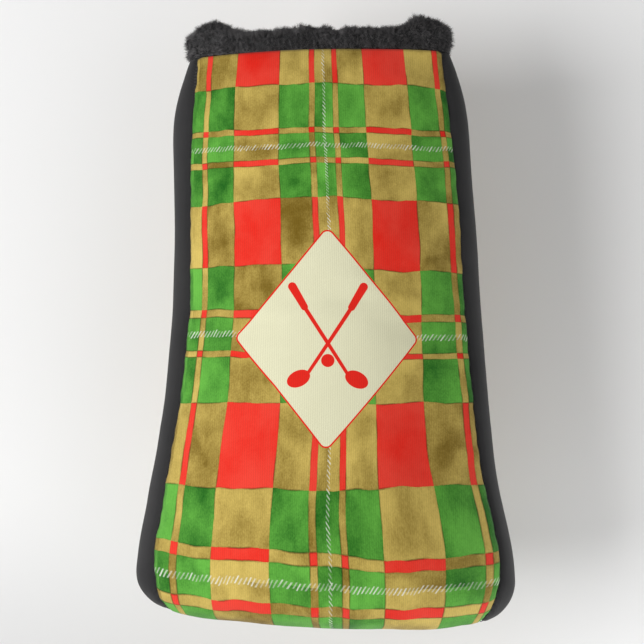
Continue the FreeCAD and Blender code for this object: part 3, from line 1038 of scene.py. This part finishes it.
def cuff_base(name, grid, material):
    """The trim's cloth, as a closed ring."""
    points = np.pad(np.arange(CUFF_AROUND * CUFF_SECTION).reshape(grid.shape[:2]), (0, 1), "wrap")
    faces = grid_faces(points, flip=True)
    piece = link(name, hang(grid.reshape(-1, 3)) * MM, faces, material)
    merge_doubles(piece)
    return piece


def hairs(name, roots, tips, radii, tones, material):
    """Thin closed straight hairs, in mm, each with a tone of its own."""
    count = len(roots)
    ahead = unit(tips - roots)
    aside = unit(np.cross(ahead, ASKEW))
    other = np.cross(ahead, aside)
    vertices = np.zeros((count, 4, 3))
    for side in range(3):
        turn = 2 * math.pi * side / 3
        vertices[:, side] = roots + (math.cos(turn) * aside + math.sin(turn) * other) * radii[:, None]
    vertices[:, 3] = tips
    pattern = np.array([(0, 2, 1), (0, 1, 3), (1, 2, 3), (2, 0, 3)])
    faces = (pattern[None] + (np.arange(count) * 4)[:, None, None]).reshape(-1, 3)
    mesh = bpy.data.meshes.new(name)
    mesh.vertices.add(count * 4)
    mesh.vertices.foreach_set("co", (hang(vertices) * MM).ravel())
    mesh.loops.add(len(faces) * 3)
    mesh.loops.foreach_set("vertex_index", faces.ravel())
    mesh.polygons.add(len(faces))
    mesh.polygons.foreach_set("loop_start", np.arange(0, len(faces) * 3, 3))
    mesh.update(calc_edges=True)
    # tip marks each hair's end point; the fur material paints the root end darker, as painted shade in the
    # pile
    tip = np.tile([0.0, 0.0, 0.0, 1.0], count)
    for label, values in (("tone", np.repeat(tones, 4)), ("tip", tip)):
        mesh.attributes.new(label, "FLOAT", "POINT").data.foreach_set("value", values)
    return place_mesh(name, mesh, material)


def pile(rng, root, way, low, high):
    """Where hairs end that grow from points in given ways: they gather in tufts and part between them."""
    drift = tangle(root, 4.2, 91) * 0.55 + tangle(root, 1.9, 92) * 0.5
    heading = unit(way + drift * TUFT + rng.normal(0, 0.22, root.shape))
    length = rng.uniform(low, high, len(root)) * (1 + 0.22 * tangle(root, 6.0, 93)[:, 0])
    return root + heading * length[:, None]


def blend_points(grid, rows, columns, row_share, column_share):
    """Points within a grid's cells, each between two rows and two columns."""
    row_share, column_share = row_share[:, None], column_share[:, None]
    before, after = (
        grid[rows[0], column] * (1 - row_share) + grid[rows[1], column] * row_share for column in columns
    )
    return before * (1 - column_share) + after * column_share


def cuff_pile(names, grid, normal, count, material):
    """The trim's pile, in as many pieces as there are names, each a stretch of the ring."""
    rng = np.random.default_rng(71)
    around, section = grid.shape[:2]
    r = rng.uniform(0, around, count)
    c = rng.uniform(0, section, count)
    r0, c0 = r.astype(int) % around, c.astype(int) % section
    r1, c1 = (r0 + 1) % around, (c0 + 1) % section
    root = blend_points(grid, (r0, r1), (c0, c1), r % 1, c % 1)
    way = normal[r0, c0]
    sunk = root - way * ROOT_DEPTH
    tip = pile(rng, sunk, way, 1.7, 3.2)
    tip[:, 2] = np.maximum(tip[:, 2], 0.1 + rng.uniform(0, 0.5, count))
    radii = rng.uniform(0.06, 0.125, count)
    tones = rng.uniform(0, 1, count)
    share = np.floor(r / around * len(names)).astype(int)
    pieces = []
    for place, name in enumerate(names):
        mine = (share == place) & (way[:, 2] > -0.6)
        pieces.append(hairs(name, sunk[mine], tip[mine], radii[mine], tones[mine], material))
    return pieces


LINING_PILE_DEPTH = 90.0    # how far down from the hem the lining's pile is made, in mm


def lining_pile(name, grids, count, material):
    """Short pile on the lining just inside the mouth; each grid comes with its way into the cover."""
    rng = np.random.default_rng(81)
    roots, ways = [], []
    for grid, outward in grids:
        rows = int(LINING_PILE_DEPTH / ROW_STEP)
        inward = -grid_normals(grid, outward)
        r = rng.uniform(1, rows, count // len(grids))
        c = rng.uniform(0, grid.shape[1] - 1.01, len(r))
        r0, c0 = r.astype(int), c.astype(int)
        roots.append(blend_points(grid, (r0, r0 + 1), (c0, c0 + 1), r % 1, c % 1))
        ways.append(inward[r0, c0])
    root, way = np.vstack(roots), np.vstack(ways)
    tip = pile(rng, root, way, 1.2, 2.4)
    radii = rng.uniform(0.06, 0.10, len(root))
    tones = rng.uniform(0, 0.8, len(root))
    return hairs(name, root - way * ROOT_DEPTH, tip, radii, tones, material)


# ---- label

def care_label(name, material):
    """A blank satin label, folded in two, hanging just inside the mouth at the back."""
    low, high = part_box("care_label")
    half_width = (high.x - low.x) / 2 / MM
    front, back = low.y / MM + 0.15, high.y / MM - 0.15
    bend = (back - front) / 2
    drop = -low.z / MM - bend
    down = np.linspace(0, drop, 26)
    turn = np.linspace(0, math.pi, 9)[1:-1]
    sway = 0.5 * np.sin(down / drop * math.pi)
    front_line = np.column_stack([front - sway, -down])
    fold = np.column_stack([(front + back) / 2 - bend * np.cos(turn), -drop - bend * np.sin(turn)])
    back_line = np.column_stack([back - sway, -down])[::-1]
    line = np.vstack([front_line, fold, back_line])
    ahead = unit(np.gradient(line, axis=0))
    aside = np.column_stack([ahead[:, 1], -ahead[:, 0]])
    half_thick = 0.12
    columns = np.linspace(-half_width, half_width, 18)
    faces = []
    for shift in (half_thick, -half_thick):
        y, z = (line + aside * shift).T
        lines = [(np.full_like(y, x), y + 0.12 * math.sin(x / 3.1), z) for x in columns]
        faces.append(np.moveaxis(lines, 1, 2).swapaxes(0, 1))
    return shell(name, faces[0], faces[1], material)


# ---- stage, light and camera

def backdrop():
    """A pale wall behind the cover that curves into a floor below it, painted darker low down as painted
    shade. Its back can be seen through.
    """
    wall_y, floor_z, bend = 0.10, -1.25, 0.3
    line = [(wall_y, 1.4), (wall_y, floor_z + bend)]
    for step in range(1, 12):
        turn = math.pi / 2 * step / 12
        line.append((wall_y - bend * (1 - math.cos(turn)), floor_z + bend * (1 - math.sin(turn))))
    line += [(wall_y - bend, floor_z), (-2.4, floor_z)]
    vertices = [(x, y, z) for y, z in line for x in (-2.2, 2.2)]
    faces = [(2 * k, 2 * k + 2, 2 * k + 3, 2 * k + 1) for k in range(len(line) - 1)]
    paint = Paint("backdrop_paper", roughness=0.9, specular=0.1)
    speckle = paint.noise(paint.place(), 8.0, 2.0)
    # painted shade: the paper is painted darker towards the bottom, from 190 to 300 mm down, fading to 0.72
    # grey
    low = paint.xyz_mm()[2].fade(-190.0, -300.0)
    paper = paint.mix(speckle, (0.89, 0.89, 0.89), (0.905, 0.905, 0.905))
    paint.colour(paint.mix(low, paper, (0.72, 0.72, 0.72)))
    output = paint.tree.nodes["Material Output"]
    clear = paint.node("ShaderNodeBsdfTransparent")
    choose = paint.node("ShaderNodeMixShader")
    paint.feed(paint.node("ShaderNodeNewGeometry").outputs["Backfacing"], choose.inputs[0])
    paint.feed(paint.shader.outputs[0], choose.inputs[1])
    paint.feed(clear.outputs[0], choose.inputs[2])
    paint.feed(choose.outputs[0], output.inputs["Surface"])
    link("backdrop", vertices, faces, paint.material)


def area_light(name, where, target, size, watts):
    lamp = bpy.data.lights.new(name, "AREA")
    lamp.shape = "DISK"
    lamp.size, lamp.energy = size, watts
    holder = bpy.data.objects.new(name, lamp)
    holder.location = where
    holder.rotation_euler = (Vector(target) - Vector(where)).to_track_quat("-Z", "Y").to_euler()
    bpy.context.scene.collection.objects.link(holder)


def lights():
    world = bpy.data.worlds.new("studio")
    world.use_nodes = True
    sky = world.node_tree.nodes["Background"].inputs
    sky["Color"].default_value = (1, 1, 1, 1)
    sky["Strength"].default_value = 0.34
    bpy.context.scene.world = world
    middle = (0, 0, -0.12)
    area_light("key", (-0.95, -1.1, -0.2), middle, 0.75, 16.3)
    area_light("fill", (0.95, -1.45, -0.5), middle, 1.2, 4.0)
    # The last one is small and close to the wall, just outside the view: it lifts the shadow's low end.
    area_light("low", (0.27, 0.0, -0.43), (0.13, 0.1, -0.22), 0.2, 0.45)


def camera():
    """The camera, straight in front of the cover and level with its middle, leaning a little."""
    distance, height, lean = 0.62, -0.1175, -0.5
    lens = bpy.data.cameras.new("camera")
    lens.lens = 77.4
    lens.sensor_width = 36.0
    holder = bpy.data.objects.new("camera", lens)
    holder.location = (0, -distance, height)
    holder.rotation_euler = Vector((0, 1, 0)).to_track_quat("-Z", "Y").to_euler()
    holder.rotation_euler.rotate_axis("Z", math.radians(lean))
    bpy.context.scene.collection.objects.link(holder)
    bpy.context.scene.camera = holder
    bpy.context.scene.view_settings.view_transform = "Standard"


# ---- assembly

def rides(piece, slot, *nodes, fill=None):
    """Put a piece on the one body, in place of any nodes named. fill, how full a padded piece is, is not
    used.
    """
    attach(piece, "root")
    if nodes:
        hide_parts(*nodes)


def give(node, material):
    """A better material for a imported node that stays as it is."""
    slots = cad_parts[node].data.materials
    slots.clear()
    slots.append(material)


HAIRS = 140000

camera()
lights()
backdrop()

cloth = printed_cloth()
front, front_grid = panel("front_cover", -1, cloth)
back, _ = panel("back_cover", 1, cloth)
rides(front, "printed_fabric", "front_panel", "front_foam", fill=0.75)
rides(back, "printed_fabric", "back_panel", "back_foam", fill=0.75)

knit = gusset_cloth()
for side_name, side in (("left", -1), ("right", 1)):
    piece = gusset(f"{side_name}_side", side, front_grid[:, -1], knit)
    rides(piece, "gusset_fabric", f"{side_name}_gusset", fill=0.7)

fleece = fleece_cloth()
lining_grids, fleece_faces = None, []
for side_name, side in (("front", 1), ("back", -1)):
    piece, lining_grids, face = lining_panel(f"fleece_{side_name}", side, fleece)
    fleece_faces.append((face, (0, -side, 0)))
    rides(piece, "fleece", f"lining_{side_name}", fill=0.4)
lining_seams = [grid[:, -1] for grid in lining_grids]
for side_name, side in (("left", -1), ("right", 1)):
    piece, face = lining_side(f"fleece_{side_name}", side, lining_seams, fleece)
    fleece_faces.append((face, (side, 0, 0)))
    rides(piece, "fleece", f"lining_{side_name}", fill=0.4)

fur = fur_hair()
cuff_grid, cuff_normals = cuff_form()
rides(cuff_base("fur_cuff", cuff_grid, fur), "fur", "mouth_cuff", fill=0.8)
pile_names = [f"fur_pile_{place}" for place in ("right_front", "left_front", "left_back", "right_back")]
for piece in cuff_pile(pile_names, cuff_grid, cuff_normals, HAIRS, fur):
    rides(piece, "fur")
rides(lining_pile("fleece_pile", fleece_faces, HAIRS // 3, fur), "fleece")

thread = sewing_thread()
front_seam = front_grid[:, -1]
for side_name, side in (("left", -1), ("right", 1)):
    seam = front_seam * (side, 1, 1) + (-side * 0.5, 1.15, 0)
    rear = front_seam * (side, -1, 1) + (-side * 0.5, -1.15, 0)
    line = np.vstack([seam, rear[::-1]])
    piece = stitches(f"seam_stitches_{side_name}", line, THREAD_RADIUS, thread)
    rides(piece, "thread", f"seam_thread_{side_name}")
    lining_line = lining_seams[0] * (side, 1, 1) + (0, 0.5, 0)
    piece = stitches(f"lining_stitches_{side_name}", lining_line, LINING_THREAD_RADIUS, thread)
    rides(piece, "thread", f"lining_thread_{side_name}")
end_line = front_grid[-1] + (0, 0, 1.0)
piece = stitches("end_seam_stitches", end_line, THREAD_RADIUS, thread)
rides(piece, "thread", "end_seam_thread")
give("lining_end_thread", thread)
give("cuff_thread", thread)
give("neck_elastic", elastic_knit())

rides(care_label("folded_label", label_satin()), "label", "care_label")
